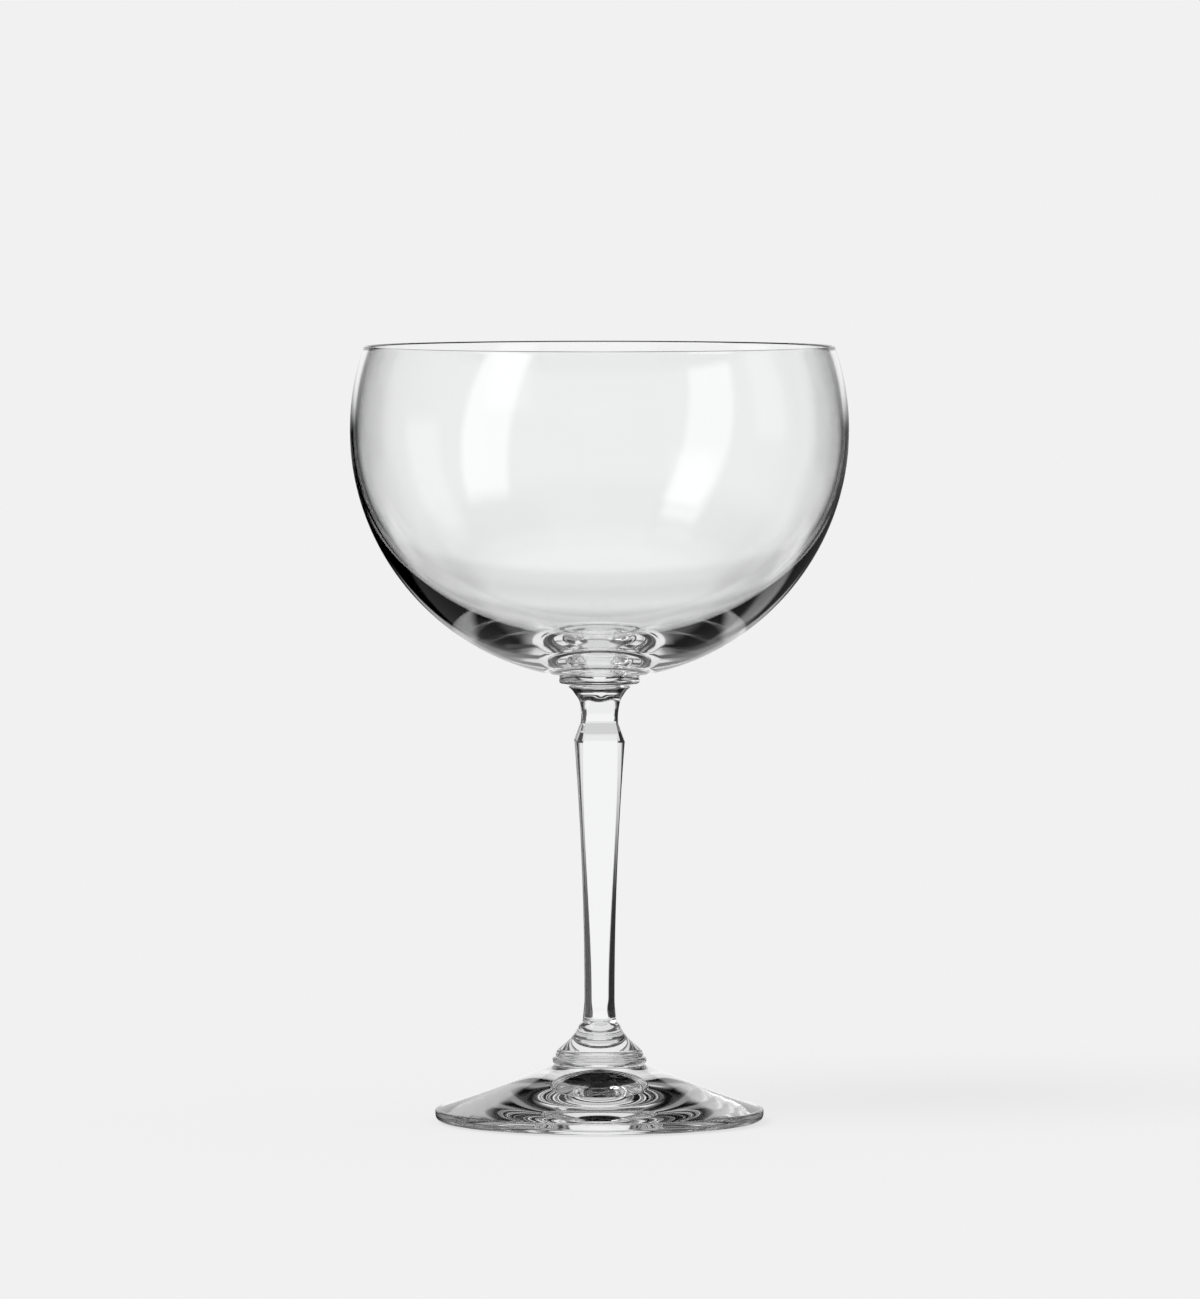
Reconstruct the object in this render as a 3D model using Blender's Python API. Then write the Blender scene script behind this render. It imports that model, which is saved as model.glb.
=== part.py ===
"""A stemmed coupe glass, built as the gathers of clear glass that a glassworker joins hot.

Five pieces stand on one another along the Z axis: foot, collar, stem, merese and bowl.
Each piece starts where the one below it ends, plus the weld gap, so a changed height
carries everything above it along.
"""

import math

import bmesh
import bpy

MM = 0.001

# Gap that stands for the hot weld between two pieces
WELD_GAP = 0.3 * MM

# Foot: a shallow cone with an upright edge on a round heel, hollowed underneath
FOOT_RADIUS = 31.0 * MM
FOOT_HEIGHT = 10.5 * MM
FOOT_TOP_SLOPE = 0.44
FOOT_EDGE_SLOPE = 0.28
FOOT_EDGE_HEIGHT = 1.85 * MM
FOOT_EDGE_EASE = 0.4 * MM
HEEL_WIDTH = 1.5 * MM
HEEL_HEIGHT = 1.5 * MM
REST_RING_WIDTH = 1.5 * MM
FOOT_HOLLOW_HEIGHT = 4.7 * MM

# Collar: two low round steps between the foot and the stem
COLLAR_LOWER_RADIUS = 8.85 * MM
COLLAR_LOWER_HEIGHT = 1.2 * MM
COLLAR_UPPER_RADIUS = 8.25 * MM
COLLAR_UPPER_HEIGHT = 0.8 * MM
COLLAR_EDGE_RADIUS = 0.3 * MM

# Stem, a turned blank: lengths of its stretches from the bottom up, and the radius at the end of each
FLARE_LENGTH = 2.2 * MM
SWEEP_LENGTH = 7.7 * MM
TAPER_LENGTH = 48.7 * MM
SHOULDER_LENGTH = 3.3 * MM
NECK_LENGTH = 3.5 * MM
TRUMPET_LENGTH = 3.3 * MM
FLARE_INSET = 0.15 * MM
SWEEP_RADIUS = 5.66 * MM
WAIST_RADIUS = 3.25 * MM
KNOP_RADIUS = 5.76 * MM
SHOULDER_RADIUS = 4.42 * MM
NECK_RADIUS = 4.2 * MM
TRUMPET_RADIUS = 5.9 * MM

# Slopes of the blank's outline, as change of radius over height
FLARE_SLOPE = -1.1
SWEEP_SLOPE = -1.0
KNOP_SLOPE = 0.05
TRUMPET_SLOPE = 1.35

# Four flats pressed into the blank: where they end, and their distance from the axis along it
FLAT_LOW_END = 5.6 * MM
FLAT_HIGH_END = 2.6 * MM
LOW_LEDGE_HEIGHT = 0.5 * MM
HIGH_LEDGE_HEIGHT = 1.0 * MM
LOW_FLAT = 3.06 * MM
WAIST_FLAT = 2.76 * MM
KNOP_FLAT = 4.58 * MM
SHOULDER_FLAT = 3.39 * MM
HIGH_FLAT = 3.85 * MM
KNOP_FLAT_SLOPE = 0.08
SHOULDER_FLAT_SLOPE = -0.15
HIGH_FLAT_SLOPE = 0.3
STEM_TURN = 4.0

# Merese: the thin disc under the bowl, with a flared underside
MERESE_RADIUS = 7.57 * MM
MERESE_HEIGHT = 1.84 * MM
MERESE_FLARE_HEIGHT = 0.35 * MM
MERESE_CORNER = 0.45 * MM

# Bowl: a ball cut open at the rim and flat at the seat, with a wall that thickens towards the base
BOWL_RADIUS = 47.0 * MM
BOWL_SEAT_RADIUS = 9.6 * MM
SEAT_EASE = 0.35 * MM
RIM_RISE = 15.75 * MM
RIM_WALL = 0.7 * MM
BASE_WALL = 3.5 * MM
WALL_GROWTH = 2.5

# Steps in a full turn, and across a flat and a corner of the stem
BOWL_STEPS = 64
DISC_STEPS = 48
FLAT_STEPS = 6
CORNER_STEPS = 4

# Steps along an outline: small eased edges, half-round edges, the foot's faces and the bowl's wall
EASE_STEPS = 4
ROUND_STEPS = 6
FOOT_STEPS = 7
WALL_STEPS = 16
RIM_STEPS = 4

# Least and greatest half angle, in degrees, that the points of one flat spread over
FLAT_SPREAD = (20.0, 43.0)

# Finish of the clear glass
GLASS_COLOUR = (0.97, 0.98, 0.98, 1.0)
GLASS_ROUGHNESS = 0.02
GLASS_IOR = 1.52


def spread(start, end, steps):
    """Evenly spaced values from start to end, both included."""
    return [start + (end - start) * i / steps for i in range(steps + 1)]


def cubic(t, start, end, start_rate, end_rate):
    """Hermite cubic: a value that leaves start and reaches end at the given rates per unit t."""
    rise = t * t * (3.0 - 2.0 * t)
    leave = t * (1.0 - t) ** 2
    arrive = t * t * (t - 1.0)
    return start + (end - start) * rise + start_rate * leave + end_rate * arrive


def through(stations, height):
    """Value at a height on cubics through stations of (height, value, leaving slope, arriving slope)."""
    index = max((i for i, station in enumerate(stations[:-1]) if height >= station[0]), default=0)
    start, value, leave, arrive = stations[index]
    end, end_value = stations[index + 1][:2]
    length = end - start
    t = min(max((height - start) / length, 0.0), 1.0)
    return cubic(t, value, end_value, leave * length, arrive * length)


def arc(centre, radii, start_degrees, end_degrees, steps):
    """Points of an elliptic arc, as (radius, height) pairs."""
    angles = [math.radians(a) for a in spread(start_degrees, end_degrees, steps)]
    return [(centre[0] + radii[0] * math.cos(a), centre[1] + radii[1] * math.sin(a)) for a in angles]


def clear_glass(name):
    """A colourless glass finish for one piece."""
    material = bpy.data.materials.new(name)
    material.use_nodes = True
    shader = material.node_tree.nodes["Principled BSDF"]
    shader.inputs["Base Color"].default_value = GLASS_COLOUR
    shader.inputs["Metallic"].default_value = 0.0
    shader.inputs["Roughness"].default_value = GLASS_ROUGHNESS
    shader.inputs["IOR"].default_value = GLASS_IOR
    shader.inputs["Transmission Weight"].default_value = 1.0
    return material


def add_piece(name, bm, height, sharp_degrees, parent):
    """Put a finished mesh into the scene at its height above the table."""
    bmesh.ops.recalc_face_normals(bm, faces=bm.faces)
    mesh = bpy.data.meshes.new(name)
    bm.to_mesh(mesh)
    bm.free()
    mesh.shade_smooth()
    mesh.set_sharp_from_angle(angle=math.radians(sharp_degrees))
    mesh.materials.append(clear_glass(name + "_glass"))
    piece = bpy.data.objects.new(name, mesh)
    piece.location = (0.0, 0.0, height)
    piece.parent = parent
    bpy.context.scene.collection.objects.link(piece)
    return piece


def turned(profile, steps):
    """Turn an outline that runs from the axis back to the axis into a closed solid."""
    bm = bmesh.new()
    verts = [bm.verts.new((radius, 0.0, height)) for radius, height in profile]
    edges = [bm.edges.new(pair) for pair in zip(verts, verts[1:])]
    bmesh.ops.spin(
        bm,
        geom=verts + edges,
        cent=(0.0, 0.0, 0.0),
        axis=(0.0, 0.0, 1.0),
        angle=math.tau,
        steps=steps,
        use_merge=True,
    )
    bmesh.ops.remove_doubles(bm, verts=bm.verts, dist=0.001 * MM)
    return bm


def foot_outline():
    """Seat, sloping top, eased upright edge, round heel, flat rest ring and hollow underside."""
    ease = FOOT_EDGE_EASE
    lean = math.degrees(math.atan(FOOT_EDGE_SLOPE))
    edge = arc((FOOT_RADIUS - ease, FOOT_EDGE_HEIGHT), (ease, ease), 90.0 - lean, 0.0, EASE_STEPS)
    rest_radius = FOOT_RADIUS - HEEL_WIDTH
    heel = arc((rest_radius, HEEL_HEIGHT), (HEEL_WIDTH, HEEL_HEIGHT), 0.0, -90.0, ROUND_STEPS)
    seat = COLLAR_LOWER_RADIUS
    reach = edge[0][0] - seat
    top = [
        (
            seat + reach * t,
            cubic(t, FOOT_HEIGHT, edge[0][1], -FOOT_TOP_SLOPE * reach, -FOOT_EDGE_SLOPE * reach),
        )
        for t in spread(0.0, 1.0, FOOT_STEPS)
    ]
    hollow_radius = rest_radius - REST_RING_WIDTH
    hollow = [
        (radius, FOOT_HOLLOW_HEIGHT * (1.0 - (radius / hollow_radius) ** 2))
        for radius in spread(hollow_radius, 0.0, FOOT_STEPS)
    ]
    return [(0.0, FOOT_HEIGHT)] + top[:-1] + edge + heel + hollow


def collar_outline():
    """Two stacked steps with eased upper corners."""
    ease = COLLAR_EDGE_RADIUS
    top = COLLAR_LOWER_HEIGHT + COLLAR_UPPER_HEIGHT
    upper = arc((COLLAR_UPPER_RADIUS - ease, top - ease), (ease, ease), 90.0, 0.0, EASE_STEPS)
    lower_half = COLLAR_LOWER_HEIGHT / 2.0
    bead = arc((COLLAR_LOWER_RADIUS - ease, lower_half), (ease, lower_half), 90.0, -90.0, ROUND_STEPS)
    return [(0.0, top)] + upper + [(COLLAR_UPPER_RADIUS, COLLAR_LOWER_HEIGHT)] + bead + [(0.0, 0.0)]


def stem_levels():
    """Heights above the stem's bottom where its stretches meet."""
    sweep = FLARE_LENGTH
    waist = sweep + SWEEP_LENGTH
    knop = waist + TAPER_LENGTH
    shoulder = knop + SHOULDER_LENGTH
    neck = shoulder + NECK_LENGTH
    return sweep, waist, knop, shoulder, neck, neck + TRUMPET_LENGTH


def blank_radius(height):
    """Radius of the turned blank at a height above the stem's bottom."""
    sweep, waist, knop, shoulder, neck, top = stem_levels()
    slant = (SHOULDER_RADIUS - KNOP_RADIUS) / SHOULDER_LENGTH
    stations = [
        (0.0, COLLAR_UPPER_RADIUS - FLARE_INSET, FLARE_SLOPE, SWEEP_SLOPE),
        (sweep, SWEEP_RADIUS, SWEEP_SLOPE, 0.0),
        (waist, WAIST_RADIUS, 0.0, KNOP_SLOPE),
        (knop, KNOP_RADIUS, slant, slant),
        (shoulder, SHOULDER_RADIUS, 0.0, 0.0),
        (neck, NECK_RADIUS, 0.0, TRUMPET_SLOPE),
        (top, TRUMPET_RADIUS),
    ]
    return through(stations, height)


def flat_distance(height):
    """Distance of the flats from the axis: beyond each end they climb a ledge out of the blank."""
    _, waist, knop, shoulder, _, top = stem_levels()
    low = FLAT_LOW_END
    high = top - FLAT_HIGH_END
    slant = (SHOULDER_FLAT - KNOP_FLAT) / SHOULDER_LENGTH
    stations = [
        (low, LOW_FLAT, 0.0, 0.0),
        (waist, WAIST_FLAT, 0.0, KNOP_FLAT_SLOPE),
        (knop, KNOP_FLAT, slant, slant),
        (shoulder, SHOULDER_FLAT, SHOULDER_FLAT_SLOPE, HIGH_FLAT_SLOPE),
        (high, HIGH_FLAT),
    ]
    flat = through(stations, height)
    climb = max((low - height) / LOW_LEDGE_HEIGHT, (height - high) / HIGH_LEDGE_HEIGHT, 0.0)
    return flat + (blank_radius(height) - flat) * climb


def stem_ring(height):
    """One cross section: the round blank cut by its four flats."""
    blank = blank_radius(height)
    flat = flat_distance(height)
    half_angle = math.degrees(math.acos(min(flat / blank, 1.0)))
    half_angle = min(max(half_angle, FLAT_SPREAD[0]), FLAT_SPREAD[1])
    side = spread(-half_angle, half_angle, FLAT_STEPS)
    corner = spread(half_angle, 90.0 - half_angle, CORNER_STEPS)[1:-1]
    ring = []
    for turn in range(4):
        for degrees in side + corner:
            off_flat = math.radians(min(abs(degrees), 90.0 - degrees))
            radius = min(blank, flat / math.cos(off_flat))
            angle = math.radians(degrees + 90.0 * turn + STEM_TURN)
            ring.append((radius * math.cos(angle), radius * math.sin(angle), height))
    return ring


def stem_heights():
    """Heights of the cross sections, closer together where the outline turns."""
    sweep, waist, knop, shoulder, neck, top = stem_levels()
    high = top - FLAT_HIGH_END
    stops = [
        (0.0, 3),
        (sweep, 3),
        (FLAT_LOW_END - LOW_LEDGE_HEIGHT, 3),
        (FLAT_LOW_END, 3),
        (waist, 7),
        (knop, 3),
        (shoulder, 4),
        (high, 4),
        (high + HIGH_LEDGE_HEIGHT, 4),
    ]
    ends = [stop[0] for stop in stops[1:]] + [top]
    heights = [0.0]
    for (start, steps), end in zip(stops, ends):
        heights += spread(start, end, steps)[1:]
    return heights


def stem_mesh():
    """Join the cross sections into one closed solid."""
    bm = bmesh.new()
    rings = [[bm.verts.new(point) for point in stem_ring(height)] for height in stem_heights()]
    for lower, upper in zip(rings, rings[1:]):
        for i in range(len(lower)):
            bm.faces.new((lower[i - 1], lower[i], upper[i], upper[i - 1]))
    bm.faces.new(rings[0])
    bm.faces.new(rings[-1])
    return bm


def merese_outline():
    """Flat top, upright side, eased lower corner, and an underside that flares down to the stem."""
    corner = arc(
        (MERESE_RADIUS - MERESE_CORNER, MERESE_FLARE_HEIGHT + MERESE_CORNER),
        (MERESE_CORNER, MERESE_CORNER),
        0.0,
        -90.0,
        EASE_STEPS,
    )
    top = [(0.0, MERESE_HEIGHT), (MERESE_RADIUS, MERESE_HEIGHT)]
    return top + corner + [(TRUMPET_RADIUS, 0.0), (0.0, 0.0)]


def seat_drop():
    """Height of the bowl's centre above its flat seat."""
    return math.sqrt(BOWL_RADIUS**2 - BOWL_SEAT_RADIUS**2)


def bowl_wall(angle):
    """Wall at an angle below the ball's widest line: thin above that line, thick at the base."""
    base = BOWL_RADIUS - seat_drop() + BASE_WALL
    drop = max(math.sin(angle), 0.0)
    return RIM_WALL + (base - RIM_WALL) * drop ** WALL_GROWTH


def bowl_outline():
    """Inside from the base up, half-round lip, then outside down to the eased edge of the flat seat."""
    lip_radius = RIM_WALL / 2.0
    lip_angle = -math.asin((RIM_RISE - lip_radius) / (BOWL_RADIUS - lip_radius))
    seat_angle = math.acos((BOWL_SEAT_RADIUS + SEAT_EASE) / BOWL_RADIUS)
    inside = [
        ((BOWL_RADIUS - bowl_wall(a)) * math.cos(a), -(BOWL_RADIUS - bowl_wall(a)) * math.sin(a))
        for a in spread(math.pi / 2.0, 0.0, WALL_STEPS)[:-1] + spread(0.0, lip_angle, RIM_STEPS)
    ]
    outside = [
        (BOWL_RADIUS * math.cos(a), -BOWL_RADIUS * math.sin(a))
        for a in spread(lip_angle, 0.0, RIM_STEPS)[:-1] + spread(0.0, seat_angle, WALL_STEPS)
    ]
    lip_middle = BOWL_RADIUS - lip_radius
    lip_centre = (lip_middle * math.cos(lip_angle), -lip_middle * math.sin(lip_angle))
    tilt = math.degrees(-lip_angle)
    lip = arc(lip_centre, (lip_radius, lip_radius), 180.0 + tilt, tilt, ROUND_STEPS)
    inside[0] = (0.0, inside[0][1])
    seat = [(BOWL_SEAT_RADIUS - SEAT_EASE, -seat_drop()), (0.0, -seat_drop())]
    return inside[:-1] + lip + outside[1:] + seat


def build():
    """Stack the five pieces on the table plane."""
    for old in list(bpy.data.objects):
        bpy.data.objects.remove(old)
    root = bpy.data.objects.new("goblet", None)
    bpy.context.scene.collection.objects.link(root)

    collar_level = FOOT_HEIGHT + WELD_GAP
    stem_level = collar_level + COLLAR_LOWER_HEIGHT + COLLAR_UPPER_HEIGHT + WELD_GAP
    merese_level = stem_level + stem_levels()[-1] + WELD_GAP
    bowl_level = merese_level + MERESE_HEIGHT + WELD_GAP + seat_drop()

    add_piece("foot", turned(foot_outline(), BOWL_STEPS), 0.0, 30.0, root)
    add_piece("collar", turned(collar_outline(), DISC_STEPS), collar_level, 35.0, root)
    add_piece("stem", stem_mesh(), stem_level, 15.0, root)
    add_piece("merese", turned(merese_outline(), DISC_STEPS), merese_level, 35.0, root)
    add_piece("bowl", turned(bowl_outline(), BOWL_STEPS), bowl_level, 35.0, root)
    print("Rim height in mm:", round((bowl_level + RIM_RISE) / MM, 2))


build()
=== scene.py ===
# %% [markdown]
# # A stemmed coupe glass in a small studio
#
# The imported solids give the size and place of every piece. This lesson dresses them as clear, hot-worked
# glass and lights them the way a glass photographer does. Clear glass has no colour of its own to show: all
# that is seen in it is the room, bent. So half of the work is the shape, and the other half is the room.

# %% Load the frame
import math

import bpy
import numpy as np
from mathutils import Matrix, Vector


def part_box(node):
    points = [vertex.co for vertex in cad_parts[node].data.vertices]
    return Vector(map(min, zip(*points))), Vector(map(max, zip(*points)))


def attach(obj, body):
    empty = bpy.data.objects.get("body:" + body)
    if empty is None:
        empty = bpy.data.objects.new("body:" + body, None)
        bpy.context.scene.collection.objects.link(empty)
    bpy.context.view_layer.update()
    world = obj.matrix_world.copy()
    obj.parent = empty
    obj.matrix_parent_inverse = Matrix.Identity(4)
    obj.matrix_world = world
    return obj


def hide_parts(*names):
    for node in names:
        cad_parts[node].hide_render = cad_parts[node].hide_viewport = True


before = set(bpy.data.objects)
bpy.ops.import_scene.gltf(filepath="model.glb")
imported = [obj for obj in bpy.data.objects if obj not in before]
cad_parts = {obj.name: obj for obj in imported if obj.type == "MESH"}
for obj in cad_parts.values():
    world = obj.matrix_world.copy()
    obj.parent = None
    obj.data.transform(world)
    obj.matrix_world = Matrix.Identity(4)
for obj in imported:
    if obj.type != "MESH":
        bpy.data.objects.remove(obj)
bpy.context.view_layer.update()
MM = 0.001

# %% [markdown]
# ## Sizes from the frame
#
# Each piece of glass takes its place from the box of its solid. The solids keep a gap of 0.3 mm where the
# real glass is fused. Here the two neighbours meet half way across that gap, so that no slit shows.

# %% Boxes and welds
foot_low, foot_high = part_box("foot")
collar_low, collar_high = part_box("collar")
stem_low, stem_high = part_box("stem")
merese_low, merese_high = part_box("merese")
bowl_low, bowl_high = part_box("bowl")

FOOT_RADIUS = foot_high[0]
COLLAR_RADIUS = collar_high[0]
MERESE_RADIUS = merese_high[0]
BOWL_RADIUS = bowl_high[0]
BOWL_SEAT = bowl_low[2]
RIM_HEIGHT = bowl_high[2]

FOOT_WELD = (foot_high[2] + collar_low[2]) / 2.0
COLLAR_WELD = (collar_high[2] + stem_low[2]) / 2.0
STEM_WELD = (stem_high[2] + merese_low[2]) / 2.0
BOWL_WELD = (merese_high[2] + bowl_low[2]) / 2.0
print("weld heights in mm:", [round(v / MM, 2) for v in (FOOT_WELD, COLLAR_WELD, STEM_WELD, BOWL_WELD)])

# %% [markdown]
# ## Camera
#
# The picture looks as if it was taken from about two metres with a long lens, a little above the rim: the
# rim is a thin ellipse and the foot a wider one, and their two widths give the height of the lens. The
# camera is made first, because every other decision is compared with the picture through it.

# %% Camera
CAMERA_DISTANCE = 2.0
CAMERA_HEIGHT = 0.19174
CAMERA_SIDE = 0.0001
CAMERA_PITCH = math.radians(2.945)
CAMERA_LENS = 294.8
CAMERA_SENSOR = 36.0

camera_data = bpy.data.cameras.new("camera")
camera_data.sensor_width = CAMERA_SENSOR
camera_data.lens = CAMERA_LENS
camera = bpy.data.objects.new("camera", camera_data)
camera.location = (CAMERA_SIDE, -CAMERA_DISTANCE, CAMERA_HEIGHT)
camera.rotation_euler = (math.pi / 2.0 - CAMERA_PITCH, 0.0, 0.0)
bpy.context.scene.collection.objects.link(camera)
bpy.context.scene.camera = camera
print("camera at", [round(v, 4) for v in camera.location])

# %% [markdown]
# ## Curves
#
# Glass that was worked hot has no straight kinks. Two curves are enough for every outline here: a cubic that
# leaves and arrives at chosen slopes, and an elliptic arc. Blender's curve objects could draw them too, but
# as formulas they give points exactly where the mesh wants them.

# %% Cubic and arc
def cubic(t, start, end, start_rate, end_rate):
    """Hermite cubic: leaves start and reaches end at the given rates per unit of t."""
    rise = t * t * (3.0 - 2.0 * t)
    return start + (end - start) * rise + start_rate * t * (1.0 - t) ** 2 + end_rate * t * t * (t - 1.0)


def span(height, start, end, radius, end_radius, leave, arrive):
    """Cubic between two stations of a turned outline, with slopes as change of radius over height."""
    t = np.clip((height - start) / (end - start), 0.0, 1.0)
    return cubic(t, radius, end_radius, leave * (end - start), arrive * (end - start))


def arc(centre, radii, start_degrees, end_degrees, steps):
    """Elliptic arc: centre + radii * (cos a, sin a), as rows of (radius, height)."""
    a = np.radians(np.linspace(start_degrees, end_degrees, steps))
    return np.column_stack((centre[0] + radii[0] * np.cos(a), centre[1] + radii[1] * np.sin(a)))


print("a cubic from 0 to 1 passes", cubic(0.5, 0.0, 1.0, 0.0, 0.0), "half way")

# %% [markdown]
# ## From rings to a closed mesh
#
# Every piece is a stack of rings round the Z axis. A turned piece repeats one outline round the axis, and
# the stem changes its section with the height, but both are one grid of points: height by angle. A Screw
# modifier could turn an outline, but not the stem, so one function serves both. The grid is computed as a
# whole, closed round the axis, and closed at both ends by a fan to a point on the axis.
#
# Where two pieces are fused there is no surface in the real glass. The faces inside a weld therefore get a
# second material, which lets light through unbent.

# %% Ring mesh
TURN_STEPS = 320


def rings_to_mesh(name, rings, caps, weld_rows):
    """Mesh from rings of points, shape (rows, columns, 3), with a fan from each cap point to its end ring.

    Row r of the faces lies between ring r - 1 and ring r. Row 0 is the first fan and the last row the second.
    weld_rows lists the rows that lie inside a weld.
    """
    rows, columns = rings.shape[:2]
    points = np.concatenate((rings.reshape(-1, 3), np.asarray(caps)))
    here = np.arange(columns)
    after = np.roll(here, -1)
    start = np.arange(rows - 1)[:, None] * columns
    quads = np.stack((start + here, start + after, start + columns + after, start + columns + here), axis=-1)
    first = np.stack((np.full(columns, rows * columns), after, here), axis=-1)
    last_row = (rows - 1) * columns
    last = np.stack((np.full(columns, rows * columns + 1), last_row + here, last_row + after), axis=-1)
    faces = first.tolist() + quads.reshape(-1, 4).tolist() + last.tolist()
    mesh = bpy.data.meshes.new(name)
    mesh.from_pydata(points.tolist(), [], faces)
    row_of_face = np.repeat(np.arange(rows + 1), columns)
    mesh.polygons.foreach_set("material_index", np.isin(row_of_face, weld_rows).astype(np.int32))
    mesh.shade_smooth()
    mesh.update()
    return mesh


def turned(name, profile, weld_rows):
    """Turned solid: profile rows (radius, height) run from the axis down the outside and back to the axis."""
    angle = np.linspace(math.tau, 0.0, TURN_STEPS, endpoint=False)
    inner = profile[1:-1]
    rings = np.stack(
        (
            inner[:, 0, None] * np.cos(angle),
            inner[:, 0, None] * np.sin(angle),
            np.broadcast_to(inner[:, 1, None], (len(inner), TURN_STEPS)),
        ),
        axis=-1,
    )
    caps = [(0.0, 0.0, profile[0, 1]), (0.0, 0.0, profile[-1, 1])]
    return rings_to_mesh(name, rings, caps, weld_rows)


print("a full turn has", TURN_STEPS, "steps of", 360.0 / TURN_STEPS, "degrees")

# %% [markdown]
# ## Glass that was worked hot
#
# The fire leaves the skin of such a glass very smooth but never quite even. Slow waves run over it and bend
# the light a little, the melt isn't equally clear everywhere, and handling leaves a breath of haze.
# Modelling waves of a few thousandths of a millimetre would take millions of faces, so a bump carries them.
# All pieces share the three effects, so they are one node group, and each glass gives it its own wave
# length. The shader stays outside the group, with what is the same all over, such as the bending power of
# the glass, on its own sockets.

# %% Node group for waves, tint and haze
RIPPLE_DETAIL = 1.0
TINT_WAVES = 22.0
TINT_DETAIL = 2.0
TINT_DEEP = (0.984, 0.992, 0.990, 1.0)
TINT_CLEAR = (1.0, 1.0, 1.0, 1.0)
HAZE_WAVES = 60.0
HAZE_DETAIL = 3.0
HAZE_START = 0.45
HAZE_END = 0.8
HAZE_MOST = 0.03


def add_noise(tree, place, waves, detail):
    """Noise on a place, with a given number of waves per metre."""
    noise = tree.nodes.new("ShaderNodeTexNoise")
    noise.inputs["Detail"].default_value = detail
    tree.links.new(place, noise.inputs["Vector"])
    if isinstance(waves, float):
        noise.inputs["Scale"].default_value = waves
    else:
        tree.links.new(waves, noise.inputs["Scale"])
    return noise.outputs[0]


def hot_glass_group():
    """Group: a place and a number of waves in, the ripple's height, a faint tint and a faint haze out."""
    group = bpy.data.node_groups.new("hot_worked_glass", "ShaderNodeTree")
    group.interface.new_socket("Place", in_out="INPUT", socket_type="NodeSocketVector")
    group.interface.new_socket("Waves per metre", in_out="INPUT", socket_type="NodeSocketFloat")
    group.interface.new_socket("Ripple", in_out="OUTPUT", socket_type="NodeSocketFloat")
    group.interface.new_socket("Tint", in_out="OUTPUT", socket_type="NodeSocketColor")
    group.interface.new_socket("Haze", in_out="OUTPUT", socket_type="NodeSocketFloat")
    given = group.nodes.new("NodeGroupInput")
    result = group.nodes.new("NodeGroupOutput")
    place, waves = given.outputs["Place"], given.outputs["Waves per metre"]
    group.links.new(add_noise(group, place, waves, RIPPLE_DETAIL), result.inputs["Ripple"])
    tint = group.nodes.new("ShaderNodeValToRGB")
    tint.color_ramp.elements[0].color = TINT_DEEP
    tint.color_ramp.elements[1].color = TINT_CLEAR
    group.links.new(add_noise(group, place, TINT_WAVES, TINT_DETAIL), tint.inputs["Fac"])
    group.links.new(tint.outputs["Color"], result.inputs["Tint"])
    haze = group.nodes.new("ShaderNodeMapRange")
    haze.inputs["From Min"].default_value = HAZE_START
    haze.inputs["From Max"].default_value = HAZE_END
    haze.inputs["To Max"].default_value = HAZE_MOST
    group.links.new(add_noise(group, place, HAZE_WAVES, HAZE_DETAIL), haze.inputs["Value"])
    group.links.new(haze.outputs["Result"], result.inputs["Haze"])
    return group


hot_glass = hot_glass_group()
print("node group", hot_glass.name, "has", len(hot_glass.nodes), "nodes")

# %% Glass and weld materials
GLASS_IOR = 1.52


def tinted_material(name, waves):
    """Material with the tint of hot-worked glass: returns it, its tree, its shader and its group node."""
    material = bpy.data.materials.new(name)
    material.use_nodes = True
    tree = material.node_tree
    shader = tree.nodes["Principled BSDF"]
    place = tree.nodes.new("ShaderNodeTexCoord")
    group = tree.nodes.new("ShaderNodeGroup")
    group.node_tree = hot_glass
    group.inputs["Waves per metre"].default_value = waves
    tree.links.new(place.outputs["Object"], group.inputs["Place"])
    tree.links.new(group.outputs["Tint"], shader.inputs["Base Color"])
    return material, tree, shader, group


def glass_material(name, waves, ripple_height):
    """Clear glass with its own wave length, and a bump of its own height in metres."""
    material, tree, shader, group = tinted_material(name, waves)
    shader.inputs["Metallic"].default_value = 0.0
    shader.inputs["IOR"].default_value = GLASS_IOR
    shader.inputs["Transmission Weight"].default_value = 1.0
    bump = tree.nodes.new("ShaderNodeBump")
    bump.inputs["Distance"].default_value = ripple_height
    tree.links.new(group.outputs["Ripple"], bump.inputs["Height"])
    tree.links.new(bump.outputs["Normal"], shader.inputs["Normal"])
    tree.links.new(group.outputs["Haze"], shader.inputs["Roughness"])
    return material


def weld_material(name, waves):
    """A face inside a weld: light goes straight through."""
    material, _, shader, _ = tinted_material(name, waves)
    shader.inputs["Alpha"].default_value = 0.0
    return material


bowl_glass = glass_material("clear_bowl", waves=70.0, ripple_height=3e-6)
stem_glass = glass_material("clear_stem", waves=180.0, ripple_height=5e-6)
foot_glass = glass_material("clear_foot", waves=90.0, ripple_height=8e-6)
weld = weld_material("weld", waves=180.0)
print("glasses:", bowl_glass.name, stem_glass.name, foot_glass.name)

# %% Dressing a piece
def add_piece(name, mesh, node, glass):
    """Link a finished piece, dress it and let it stand for its solid."""
    mesh.materials.append(glass)
    mesh.materials.append(weld)
    piece = bpy.data.objects.new(name, mesh)
    bpy.context.scene.collection.objects.link(piece)
    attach(piece, "root")
    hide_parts(node)
    print(name, "has", len(mesh.polygons), "faces")


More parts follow.
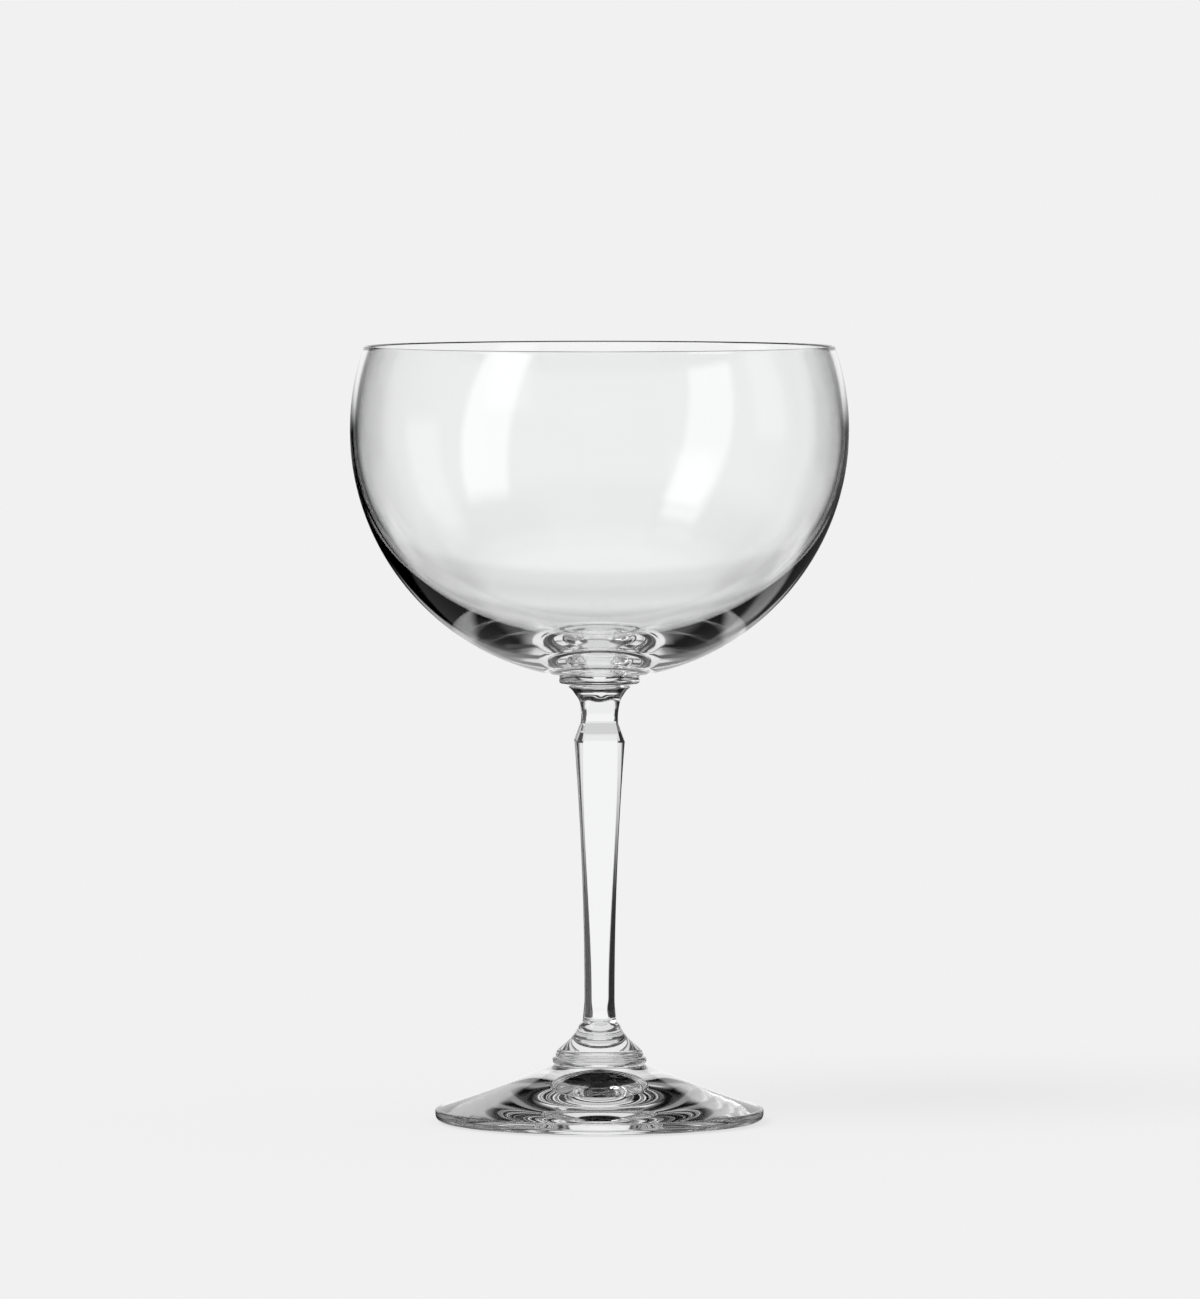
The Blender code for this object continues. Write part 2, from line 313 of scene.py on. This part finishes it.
# %% [markdown]
# ## Bowl
#
# The bowl is most likely blown: its outside is a ball, open at the rim and flat where it sits on the disc
# below. The wall can't be seen directly. It is taken to be thin down to the widest line and to grow below
# it, which puts a lens of glass at the bottom, and its growth was fitted to the dark crescents in the
# picture. A sphere with a Solidify modifier would give an even wall, so the inside is its own curve: the
# ball's radius less a wall that grows with the depth.
#
# The lip is rounded but low, as if it had been cut and then softened in the fire. That is an assumption. A
# half-round lip was tried first, and it drew a darker line at the left and the right of the rim, where the
# picture shows a pale one.

# %% Bowl's wall
RIM_RISE = 15.75 * MM
RIM_WALL = 0.7 * MM
LIP_RISE = 0.15 * MM
BASE_WALL = 3.5 * MM
WALL_GROWTH = 2.5
BOWL_SEAT_RADIUS = 9.6 * MM
SEAT_EASE = 0.35 * MM
BOWL_CENTRE = RIM_HEIGHT - RIM_RISE


def bowl_wall(angle):
    """Wall: rim + (base - rim) * sin(angle)^growth, with the angle counted down from the widest line."""
    base = BOWL_RADIUS - BOWL_CENTRE + BOWL_SEAT + BASE_WALL
    drop = np.maximum(np.sin(angle), 0.0)
    return RIM_WALL + (base - RIM_WALL) * drop**WALL_GROWTH


print("wall in mm at 0, 30, 60 and 90 degrees:", (bowl_wall(np.radians([0, 30, 60, 90])) / MM).round(2))

# %% Bowl
INSIDE_STEPS = 150
OUTSIDE_STEPS = 110
LIP_STEPS = 17


def bowl_profile():
    """Inside from the base up, low round lip, outside down to the flat seat, and the weld's disc."""
    lip_radius = RIM_WALL / 2.0
    lip_middle = BOWL_RADIUS - lip_radius
    tilt = math.asin(RIM_RISE / lip_middle)
    lip_top = math.hypot(lip_radius * math.sin(tilt), LIP_RISE * math.cos(tilt))
    lip_angle = -math.asin((RIM_RISE - lip_top) / lip_middle)
    inside_angle = np.linspace(math.pi / 2.0, lip_angle, INSIDE_STEPS)
    inside_radius = BOWL_RADIUS - bowl_wall(inside_angle)
    inside = np.column_stack(
        (inside_radius * np.cos(inside_angle), BOWL_CENTRE - inside_radius * np.sin(inside_angle))
    )
    inside[0, 0] = 0.0
    seat_angle = math.acos((BOWL_SEAT_RADIUS + SEAT_EASE) / BOWL_RADIUS)
    outside_angle = np.linspace(lip_angle, seat_angle, OUTSIDE_STEPS)
    outside = np.column_stack(
        (BOWL_RADIUS * np.cos(outside_angle), BOWL_CENTRE - BOWL_RADIUS * np.sin(outside_angle))
    )
    across = (outside[0] - inside[-1]) / 2.0
    upward = np.array((-across[1], across[0])) * LIP_RISE / lip_radius
    turn = np.linspace(math.pi, 0.0, LIP_STEPS)[1:-1, None]
    lip = (inside[-1] + outside[0]) / 2.0 + across * np.cos(turn) + upward * np.sin(turn)
    seat = [(BOWL_SEAT_RADIUS - SEAT_EASE, BOWL_SEAT), (MERESE_RADIUS, BOWL_SEAT)]
    weld_disc = [(MERESE_RADIUS, BOWL_WELD), (0.0, BOWL_WELD)]
    return np.concatenate((inside, lip, outside, seat, weld_disc))


bowl_rows = bowl_profile()
bowl_mesh = turned("bowl_shell", bowl_rows, [len(bowl_rows) - 2])
add_piece("bowl_shell", bowl_mesh, "bowl", bowl_glass)

# %% [markdown]
# ## Merese
#
# A merese is the thin disc that a glassworker puts between the bowl and the stem. Its side is upright, its
# lower corner was rounded by the fire, and its underside flares down into the stem. A bevelled cylinder
# would come close, but the flare decides how the disc glints, so it is turned from its own outline.

# %% Merese
TRUMPET_RADIUS = 5.9 * MM
MERESE_FLARE_HEIGHT = 0.35 * MM
MERESE_CORNER = 0.45 * MM
MERESE_CORNER_STEPS = 13


def merese_profile():
    """Weld's disc under the bowl, upright side, eased corner, flared underside, weld's disc on the stem."""
    ease = MERESE_CORNER
    side = [(0.0, BOWL_WELD), (MERESE_RADIUS, BOWL_WELD)]
    centre = (MERESE_RADIUS - ease, merese_low[2] + MERESE_FLARE_HEIGHT + ease)
    corner = arc(centre, (ease, ease), 0.0, -90.0, MERESE_CORNER_STEPS)
    under = [(TRUMPET_RADIUS, STEM_WELD), (0.0, STEM_WELD)]
    return np.concatenate((side, corner, under))


merese_rows = merese_profile()
merese_mesh = turned("merese_disc", merese_rows, [0, len(merese_rows) - 2])
add_piece("merese_disc", merese_mesh, "merese", stem_glass)

# %% [markdown]
# ## Stem
#
# The stem starts as a turned blank: a flare on the collar, a slim waist, a long swelling up to a knop, a
# shoulder, a neck and a trumpet under the disc. While it is hot, four flats are pressed into it, which leave
# narrow round corners between them and end in small ledges at the flare and under the trumpet. A Boolean
# could cut the flats, but its edges would be sharper than hot glass. Here every section is worked out from
# both shapes at once, and the power in the formula says how crisp the edges are.

# %% Stem's blank
FLARE_LENGTH = 2.2 * MM
SWEEP_LENGTH = 7.7 * MM
TAPER_LENGTH = 48.7 * MM
SHOULDER_LENGTH = 3.3 * MM
NECK_LENGTH = 3.5 * MM
FLARE_RADIUS = 8.1 * MM
SWEEP_RADIUS = 5.66 * MM
WAIST_RADIUS = 3.25 * MM
KNOP_RADIUS = 5.76 * MM
SHOULDER_RADIUS = 4.42 * MM
NECK_RADIUS = 4.2 * MM
FLARE_SLOPE = -1.1
SWEEP_SLOPE = -1.0
KNOP_SLOPE = 0.05
TRUMPET_SLOPE = 1.35

STEM_LENGTH = stem_high[2] - stem_low[2]
WAIST_LEVEL = FLARE_LENGTH + SWEEP_LENGTH
KNOP_LEVEL = WAIST_LEVEL + TAPER_LENGTH
SHOULDER_LEVEL = KNOP_LEVEL + SHOULDER_LENGTH
NECK_LEVEL = SHOULDER_LEVEL + NECK_LENGTH


def blank_radius(height):
    """Radius of the turned blank at a height above the stem's bottom: cubics between the stations."""
    slant = (SHOULDER_RADIUS - KNOP_RADIUS) / SHOULDER_LENGTH
    stations = (FLARE_LENGTH, WAIST_LEVEL, KNOP_LEVEL, SHOULDER_LEVEL, NECK_LEVEL)
    return np.select(
        [height < station for station in stations],
        [
            span(height, 0.0, FLARE_LENGTH, FLARE_RADIUS, SWEEP_RADIUS, FLARE_SLOPE, SWEEP_SLOPE),
            span(height, FLARE_LENGTH, WAIST_LEVEL, SWEEP_RADIUS, WAIST_RADIUS, SWEEP_SLOPE, 0.0),
            span(height, WAIST_LEVEL, KNOP_LEVEL, WAIST_RADIUS, KNOP_RADIUS, 0.0, KNOP_SLOPE),
            span(height, KNOP_LEVEL, SHOULDER_LEVEL, KNOP_RADIUS, SHOULDER_RADIUS, slant, slant),
            span(height, SHOULDER_LEVEL, NECK_LEVEL, SHOULDER_RADIUS, NECK_RADIUS, 0.0, 0.0),
        ],
        span(height, NECK_LEVEL, STEM_LENGTH, NECK_RADIUS, TRUMPET_RADIUS, 0.0, TRUMPET_SLOPE),
    )


print("stem is", round(STEM_LENGTH / MM, 2), "mm long")
print("knop is", round(2.0 * KNOP_RADIUS / MM, 2), "mm thick")

# %% Stem's flats
FLAT_LOW_END = 5.6 * MM
FLAT_HIGH_END = 2.6 * MM
LOW_LEDGE_HEIGHT = 0.5 * MM
HIGH_LEDGE_HEIGHT = 1.0 * MM
LOW_FLAT = 3.06 * MM
WAIST_FLAT = 2.76 * MM
KNOP_FLAT = 4.58 * MM
SHOULDER_FLAT = 3.39 * MM
HIGH_FLAT = 3.85 * MM
KNOP_FLAT_SLOPE = 0.08
SHOULDER_FLAT_SLOPE = -0.15
HIGH_FLAT_SLOPE = 0.3


def flat_distance(height):
    """Distance of the flats from the axis: cubics between stations, and ledges up to the blank at the ends."""
    low, high = FLAT_LOW_END, STEM_LENGTH - FLAT_HIGH_END
    slant = (SHOULDER_FLAT - KNOP_FLAT) / SHOULDER_LENGTH
    flat = np.select(
        [height < WAIST_LEVEL, height < KNOP_LEVEL, height < SHOULDER_LEVEL],
        [
            span(height, low, WAIST_LEVEL, LOW_FLAT, WAIST_FLAT, 0.0, 0.0),
            span(height, WAIST_LEVEL, KNOP_LEVEL, WAIST_FLAT, KNOP_FLAT, 0.0, KNOP_FLAT_SLOPE),
            span(height, KNOP_LEVEL, SHOULDER_LEVEL, KNOP_FLAT, SHOULDER_FLAT, slant, slant),
        ],
        span(height, SHOULDER_LEVEL, high, SHOULDER_FLAT, HIGH_FLAT, SHOULDER_FLAT_SLOPE, HIGH_FLAT_SLOPE),
    )
    climb = np.maximum((low - height) / LOW_LEDGE_HEIGHT, (height - high) / HIGH_LEDGE_HEIGHT)
    return flat + (blank_radius(height) - flat) * climb.clip(min=0.0)


print("flats are", round(2.0 * WAIST_FLAT / MM, 2), "mm apart at the waist")

# %% Stem
STEM_TURN = math.radians(4.0)
EDGE_CRISPNESS = 48.0
STEM_STEPS = 300


def stem_rings():
    """Blank cut by four flats: 1 / r = ((1 / blank)^p + sum (cos(a - a_k) / flat)^p)^(1/p)."""
    height = np.linspace(0.0, STEM_LENGTH, STEM_STEPS)
    blank = blank_radius(height)[:, None]
    flat = flat_distance(height)[:, None]
    angle = np.linspace(0.0, math.tau, TURN_STEPS, endpoint=False)[None, :]
    cut = np.ones((len(height), TURN_STEPS))
    for quarter in range(4):
        facing = np.maximum(np.cos(angle - quarter * math.pi / 2.0 - STEM_TURN), 0.0)
        cut += (facing * blank / flat) ** EDGE_CRISPNESS
    radius = blank / cut ** (1.0 / EDGE_CRISPNESS)
    level = np.broadcast_to(stem_low[2] + height[:, None], radius.shape)
    rings = np.stack((radius * np.cos(angle), radius * np.sin(angle), level), axis=-1)
    rings[0, :, 2] = COLLAR_WELD
    rings[-1, :, 2] = STEM_WELD
    return rings


sections = stem_rings()
stem_caps = [(0.0, 0.0, STEM_WELD), (0.0, 0.0, COLLAR_WELD)]
stem_mesh = rings_to_mesh("stem_shaft", sections[::-1, ::-1], stem_caps, [0, len(sections)])
add_piece("stem_shaft", stem_mesh, "stem", stem_glass)

# %% [markdown]
# ## Collar
#
# Two low steps lie between the stem and the foot, most likely pressed with a small tool. The upper one has
# an eased corner and the lower one a half-round edge, and both throw thin dark rings. Two bevelled discs
# could stand for them, but one turned outline keeps them a single piece of glass, as they are.

# %% Collar
COLLAR_UPPER_RADIUS = 8.25 * MM
COLLAR_LOWER_HEIGHT = 1.2 * MM
COLLAR_EDGE_RADIUS = 0.3 * MM
STEP_CORNER_STEPS = 9
BEAD_STEPS = 25


def collar_profile():
    """Weld's disc under the stem, eased upper step, half-round lower step, weld's disc on the foot."""
    ease = COLLAR_EDGE_RADIUS
    top = collar_high[2]
    step = collar_low[2] + COLLAR_LOWER_HEIGHT
    upper = arc((COLLAR_UPPER_RADIUS - ease, top - ease), (ease, ease), 90.0, 0.0, STEP_CORNER_STEPS)
    half = COLLAR_LOWER_HEIGHT / 2.0
    bead = arc((COLLAR_RADIUS - ease, collar_low[2] + half), (ease, half), 90.0, -90.0, BEAD_STEPS)
    weld_top = [(0.0, COLLAR_WELD), (FLARE_RADIUS, COLLAR_WELD)]
    weld_bottom = [(COLLAR_RADIUS - ease, FOOT_WELD), (0.0, FOOT_WELD)]
    return np.concatenate((weld_top, upper, [(COLLAR_UPPER_RADIUS, step)], bead, weld_bottom))


collar_rows = collar_profile()
collar_mesh = turned("collar_steps", collar_rows, [0, len(collar_rows) - 2])
add_piece("collar_steps", collar_mesh, "collar", stem_glass)

# %% [markdown]
# ## Foot
#
# The foot is a disc that was spun out while hot: its top slopes down to a thin upright edge on a round heel.
# It stands on a narrow ring, because it is hollow underneath, and that hollow shows the collar a second
# time, upside down. The top is a cubic that flattens outwards. The hollow is a power curve, nearly a cone
# with a softened tip. A parabola was tried first, and the rings that it shows in the foot looked less like
# those in the picture.

# %% Foot
FOOT_TOP_SLOPE = 0.44
FOOT_EDGE_SLOPE = 0.28
FOOT_EDGE_HEIGHT = 1.85 * MM
FOOT_EDGE_EASE = 0.4 * MM
HEEL_WIDTH = 1.0 * MM
HEEL_HEIGHT = 1.3 * MM
REST_RING_WIDTH = 0.4 * MM
FOOT_HOLLOW_HEIGHT = 5.0 * MM
FOOT_HOLLOW_POWER = 1.15
FOOT_STEPS = 90
FOOT_EDGE_STEPS = 15
HEEL_STEPS = 25


def foot_profile():
    """Weld's disc, sloping top, eased edge, upright side, round heel, rest ring and hollow."""
    ease = FOOT_EDGE_EASE
    lean = math.degrees(math.atan(FOOT_EDGE_SLOPE))
    edge = arc((FOOT_RADIUS - ease, FOOT_EDGE_HEIGHT), (ease, ease), 90.0 - lean, 0.0, FOOT_EDGE_STEPS)
    rest_radius = FOOT_RADIUS - HEEL_WIDTH
    heel = arc((rest_radius, HEEL_HEIGHT), (HEEL_WIDTH, HEEL_HEIGHT), 0.0, -90.0, HEEL_STEPS)
    seat = COLLAR_RADIUS - COLLAR_EDGE_RADIUS
    reach = edge[0, 0] - COLLAR_RADIUS
    t = np.linspace(0.0, 1.0, FOOT_STEPS)
    top_height = cubic(t, foot_high[2], edge[0, 1], -FOOT_TOP_SLOPE * reach, -FOOT_EDGE_SLOPE * reach)
    top = np.column_stack((COLLAR_RADIUS + reach * t, top_height))
    hollow_radius = rest_radius - REST_RING_WIDTH
    radius = np.linspace(hollow_radius, 0.0, FOOT_STEPS)
    hollow_height = FOOT_HOLLOW_HEIGHT * (1.0 - (radius / hollow_radius) ** FOOT_HOLLOW_POWER)
    hollow = np.column_stack((radius, hollow_height))
    return np.concatenate(([(0.0, FOOT_WELD), (seat, FOOT_WELD)], top[:-1], edge, heel, hollow))


foot_rows = foot_profile()
add_piece("foot_disc", turned("foot_disc", foot_rows, [0]), "foot", foot_glass)

# %% [markdown]
# ## Pale floor
#
# The picture has an even pale ground with no horizon. The floor has the brightness of the room: most of it
# is the floor's own glow, and the rest is light that falls on it, which is the part that the glass can
# shade. So the ground stays even and a faint soft shadow is still there.

# %% Floor and the lamp above it
FIELD = 0.88
FLOOR_SIZE = 6.0
FLOOR_GAP = 0.3 * MM
FLOOR_SHARE = 0.12
LAMP_SHARE = 0.5
LAMP_TILT = math.radians(35.0)
LAMP_TURN = math.radians(-50.0)
LAMP_SOFTNESS = math.radians(30.0)

half = FLOOR_SIZE / 2.0
floor_mesh = bpy.data.meshes.new("floor")
floor_plan = [(-half, -half), (half, -half), (half, half), (-half, half)]
floor_corners = [(x, y, -FLOOR_GAP) for x, y in floor_plan]
floor_mesh.from_pydata(floor_corners, [], [(0, 1, 2, 3)])
floor_paint = bpy.data.materials.new("floor_paint")
floor_paint.use_nodes = True
paint = floor_paint.node_tree.nodes["Principled BSDF"]
paint.inputs["Base Color"].default_value = (FLOOR_SHARE, FLOOR_SHARE, FLOOR_SHARE, 1.0)
paint.inputs["Roughness"].default_value = 1.0
paint.inputs["Specular IOR Level"].default_value = 0.0
paint.inputs["Emission Color"].default_value = (1.0, 1.0, 1.0, 1.0)
paint.inputs["Emission Strength"].default_value = FIELD - FLOOR_SHARE * (FIELD + LAMP_SHARE)
floor_mesh.materials.append(floor_paint)
floor = bpy.data.objects.new("floor", floor_mesh)
floor.visible_glossy = False
floor.visible_transmission = False
bpy.context.scene.collection.objects.link(floor)

lamp_data = bpy.data.lights.new("shadow_lamp", "SUN")
lamp_data.energy = LAMP_SHARE * math.pi / math.cos(LAMP_TILT)
lamp_data.angle = LAMP_SOFTNESS
lamp = bpy.data.objects.new("shadow_lamp", lamp_data)
lamp.rotation_euler = (LAMP_TILT, 0.0, LAMP_TURN)
lamp.visible_glossy = False
lamp.visible_transmission = False
bpy.context.scene.collection.objects.link(lamp)
print("floor glows at", round(paint.inputs["Emission Strength"].default_value, 3))

# %% [markdown]
# ## The studio in the glass
#
# A glass in an even room would hardly be seen. A glass photographer puts a bright backdrop behind it and
# black flags beside that, just outside the picture. The edges of the glass bend the view so far that they
# show the flags, and dark lines draw the shape. A softbox at the front left adds the two tall highlights.
#
# Cards could stand round the glass, but near ones are also seen straight through the bowl. The studio is
# therefore painted on the sky as soft zones, each between two azimuths (0 is behind the glass, plus is to
# its right) and two heights above the horizon, in degrees. Only the glass sees the zones. The camera and the
# floor see a pale room.
#
# The zones were tried against the picture until the glass came close to it, so they are a fit and not the
# real studio. The three zones whose names begin with pale weren't fitted to the picture. They lie straight
# behind the glass for cameras at 45, 90 and 225 degrees. From most sides between those the bowl looks smoked,
# because the plain glow of the studio is seen through it. A room that is pale all round, with dark flags
# only, may mend that, but it wasn't tried.

# %% Soft zone
def wire(tree, operation, *values):
    """Math node on numbers or on the outputs of other nodes."""
    node = tree.nodes.new("ShaderNodeMath")
    node.operation = operation
    for socket, value in zip(node.inputs, values):
        if isinstance(value, float):
            socket.default_value = value
        else:
            tree.links.new(value, socket)
    return node.outputs[0]


def soft_step(tree, distance, half, softness):
    """Smooth step: falls from 1 to 0 where the distance passes half, over a strip of the given softness."""
    step = tree.nodes.new("ShaderNodeMapRange")
    step.interpolation_type = "SMOOTHSTEP"
    edge = wire(tree, "DIVIDE", wire(tree, "SUBTRACT", half, distance), softness)
    tree.links.new(wire(tree, "ADD", edge, 0.5), step.inputs["Value"])
    return step.outputs["Result"]


def soft_zone_group():
    """Group: brightness so far, a direction and a zone in, the brightness with the zone on top out."""
    group = bpy.data.node_groups.new("soft_zone", "ShaderNodeTree")
    names = ("Below", "Azimuth", "Height", "Middle", "Half Width", "Level", "Half Height", "Softness", "Glow")
    for name in names:
        group.interface.new_socket(name, in_out="INPUT", socket_type="NodeSocketFloat")
    group.interface.new_socket("Painted", in_out="OUTPUT", socket_type="NodeSocketFloat")
    given = group.nodes.new("NodeGroupInput").outputs
    turn = wire(group, "WRAP", wire(group, "SUBTRACT", given["Azimuth"], given["Middle"]), 180.0, -180.0)
    rise = wire(group, "SUBTRACT", given["Height"], given["Level"])
    across = soft_step(group, wire(group, "ABSOLUTE", turn), given["Half Width"], given["Softness"])
    upright = soft_step(group, wire(group, "ABSOLUTE", rise), given["Half Height"], given["Softness"])
    change = wire(group, "SUBTRACT", given["Glow"], given["Below"])
    cover = wire(group, "MULTIPLY", across, upright)
    painted = wire(group, "ADD", given["Below"], wire(group, "MULTIPLY", cover, change))
    group.links.new(painted, group.nodes.new("NodeGroupOutput").inputs["Painted"])
    return group


soft_zone = soft_zone_group()
print("node group", soft_zone.name, "has", len(soft_zone.nodes), "nodes")

# %% Room and direction
STUDIO_GLOW = 0.33
SOFTBOX_LEAN = 0.145

world = bpy.data.worlds.new("studio")
world.use_nodes = True
world.cycles.sampling_method = "NONE"
bpy.context.scene.world = world
sky = world.node_tree
direction = sky.nodes.new("ShaderNodeSeparateXYZ")
sky.links.new(sky.nodes.new("ShaderNodeTexCoord").outputs["Generated"], direction.inputs["Vector"])
azimuth = wire(sky, "DEGREES", wire(sky, "ARCTAN2", direction.outputs["X"], direction.outputs["Y"]))
height = wire(sky, "DEGREES", wire(sky, "ARCSINE", direction.outputs["Z"]))
print("the studio starts as an even glow of", STUDIO_GLOW)

# %% Zones: name, two azimuths, two heights, softness, glow
ZONES = [
    ("ceiling", (-200, 200), (27, 150), 6, 0.0),
    ("table_far_left", (-150, -70), (-120, -32), 10, 0.05),
    ("table_far_right", (70, 150), (-120, -32), 10, 0.05),
    ("flag_left", (-60, -28), (-10, 20), 8, 0.0),
    ("flag_right", (30, 60), (-10, 20), 8, 0.0),
    ("table_left_low", (-42, -18), (-62, -20), 5, 0.12),
    ("table_left_near", (-64, -38), (-120, -42), 5, 0.05),
    ("table_right_low", (18, 60), (-120, -34), 5, 0.1),
    ("table_under", (-200, 200), (-150, -52), 8, 0.8),
    ("table_left", (-42, -6), (-24, 0), 3, 0.0),
    ("table_right", (6, 40), (-22, 0), 3, 0.06),
    ("table_glint", (20, 46), (-33, -23), 4, 0.9),
    ("backdrop", (-24, 26), (0, 27), 4, 0.9),
    ("table_behind", (-14, 14), (-45, -12.5), 4, 0.92),
    ("table_near_behind", (-14, 14), (-45, -19.5), 4, 0.66),
    ("table_edge", (-14, 14), (-17, -12.5), 5, 0.78),
    ("bright_lane", (-7, 7), (-12.5, 3), 4, 0.96),
    ("pale_low_left", (-52, -40), (-31, -19), 4, 0.88),
    ("pale_left", (-100, -80), (-40, 3), 8, 0.85),
    ("pale_front_right", (124, 146), (-45, -8), 8, 0.85),
]
print("listed", len(ZONES), "zones, later ones on top")

# %% Painting the zones
def paint_zone(below, name, azimuths, heights, softness, glow, turned_by=azimuth):
    """One zone on top of what is painted so far."""
    node = sky.nodes.new("ShaderNodeGroup")
    node.node_tree = soft_zone
    node.label = name
    sky.links.new(turned_by, node.inputs["Azimuth"])
    sky.links.new(height, node.inputs["Height"])
    if isinstance(below, float):
        node.inputs["Below"].default_value = below
    else:
        sky.links.new(below, node.inputs["Below"])
    node.inputs["Middle"].default_value = (azimuths[0] + azimuths[1]) / 2.0
    node.inputs["Half Width"].default_value = (azimuths[1] - azimuths[0]) / 2.0
    node.inputs["Level"].default_value = (heights[0] + heights[1]) / 2.0
    node.inputs["Half Height"].default_value = (heights[1] - heights[0]) / 2.0
    node.inputs["Softness"].default_value = softness
    node.inputs["Glow"].default_value = glow
    return node.outputs["Painted"]


painted = STUDIO_GLOW
for zone in ZONES:
    painted = paint_zone(painted, *zone)
leaning = wire(sky, "ADD", azimuth, wire(sky, "MULTIPLY", height, SOFTBOX_LEAN))
painted = paint_zone(painted, "softbox", (-138, -114), (-28, 40), 5, 1.7, leaning)
print("painted", len([node for node in sky.nodes if node.type == "GROUP"]), "zones")

# %% Who sees what
rays = sky.nodes.new("ShaderNodeLightPath").outputs
in_glass = wire(sky, "MAXIMUM", rays["Is Glossy Ray"], rays["Is Transmission Ray"])
shown = wire(sky, "ADD", FIELD, wire(sky, "MULTIPLY", in_glass, wire(sky, "SUBTRACT", painted, FIELD)))
sky.links.new(shown, sky.nodes["Background"].inputs["Color"])
print("camera and floor see a pale room of", FIELD)

# %% [markdown]
# ## Light paths and finish
#
# Light that enters this glass may be reflected inside it many times before it leaves, so the paths are long.
# The limit for reflections is part of the look: light that is caught in the wall is dropped after 16 of
# them, which keeps the crescents at the lower edges of the bowl dark, as in the picture. With 256 they turn
# light.

# %% Light paths
cycles = bpy.context.scene.cycles
cycles.max_bounces = 32
cycles.transmission_bounces = 32
cycles.glossy_bounces = 16
cycles.transparent_max_bounces = 64
bpy.context.scene.view_settings.view_transform = "Standard"
print("light paths have up to", cycles.max_bounces, "bounces")
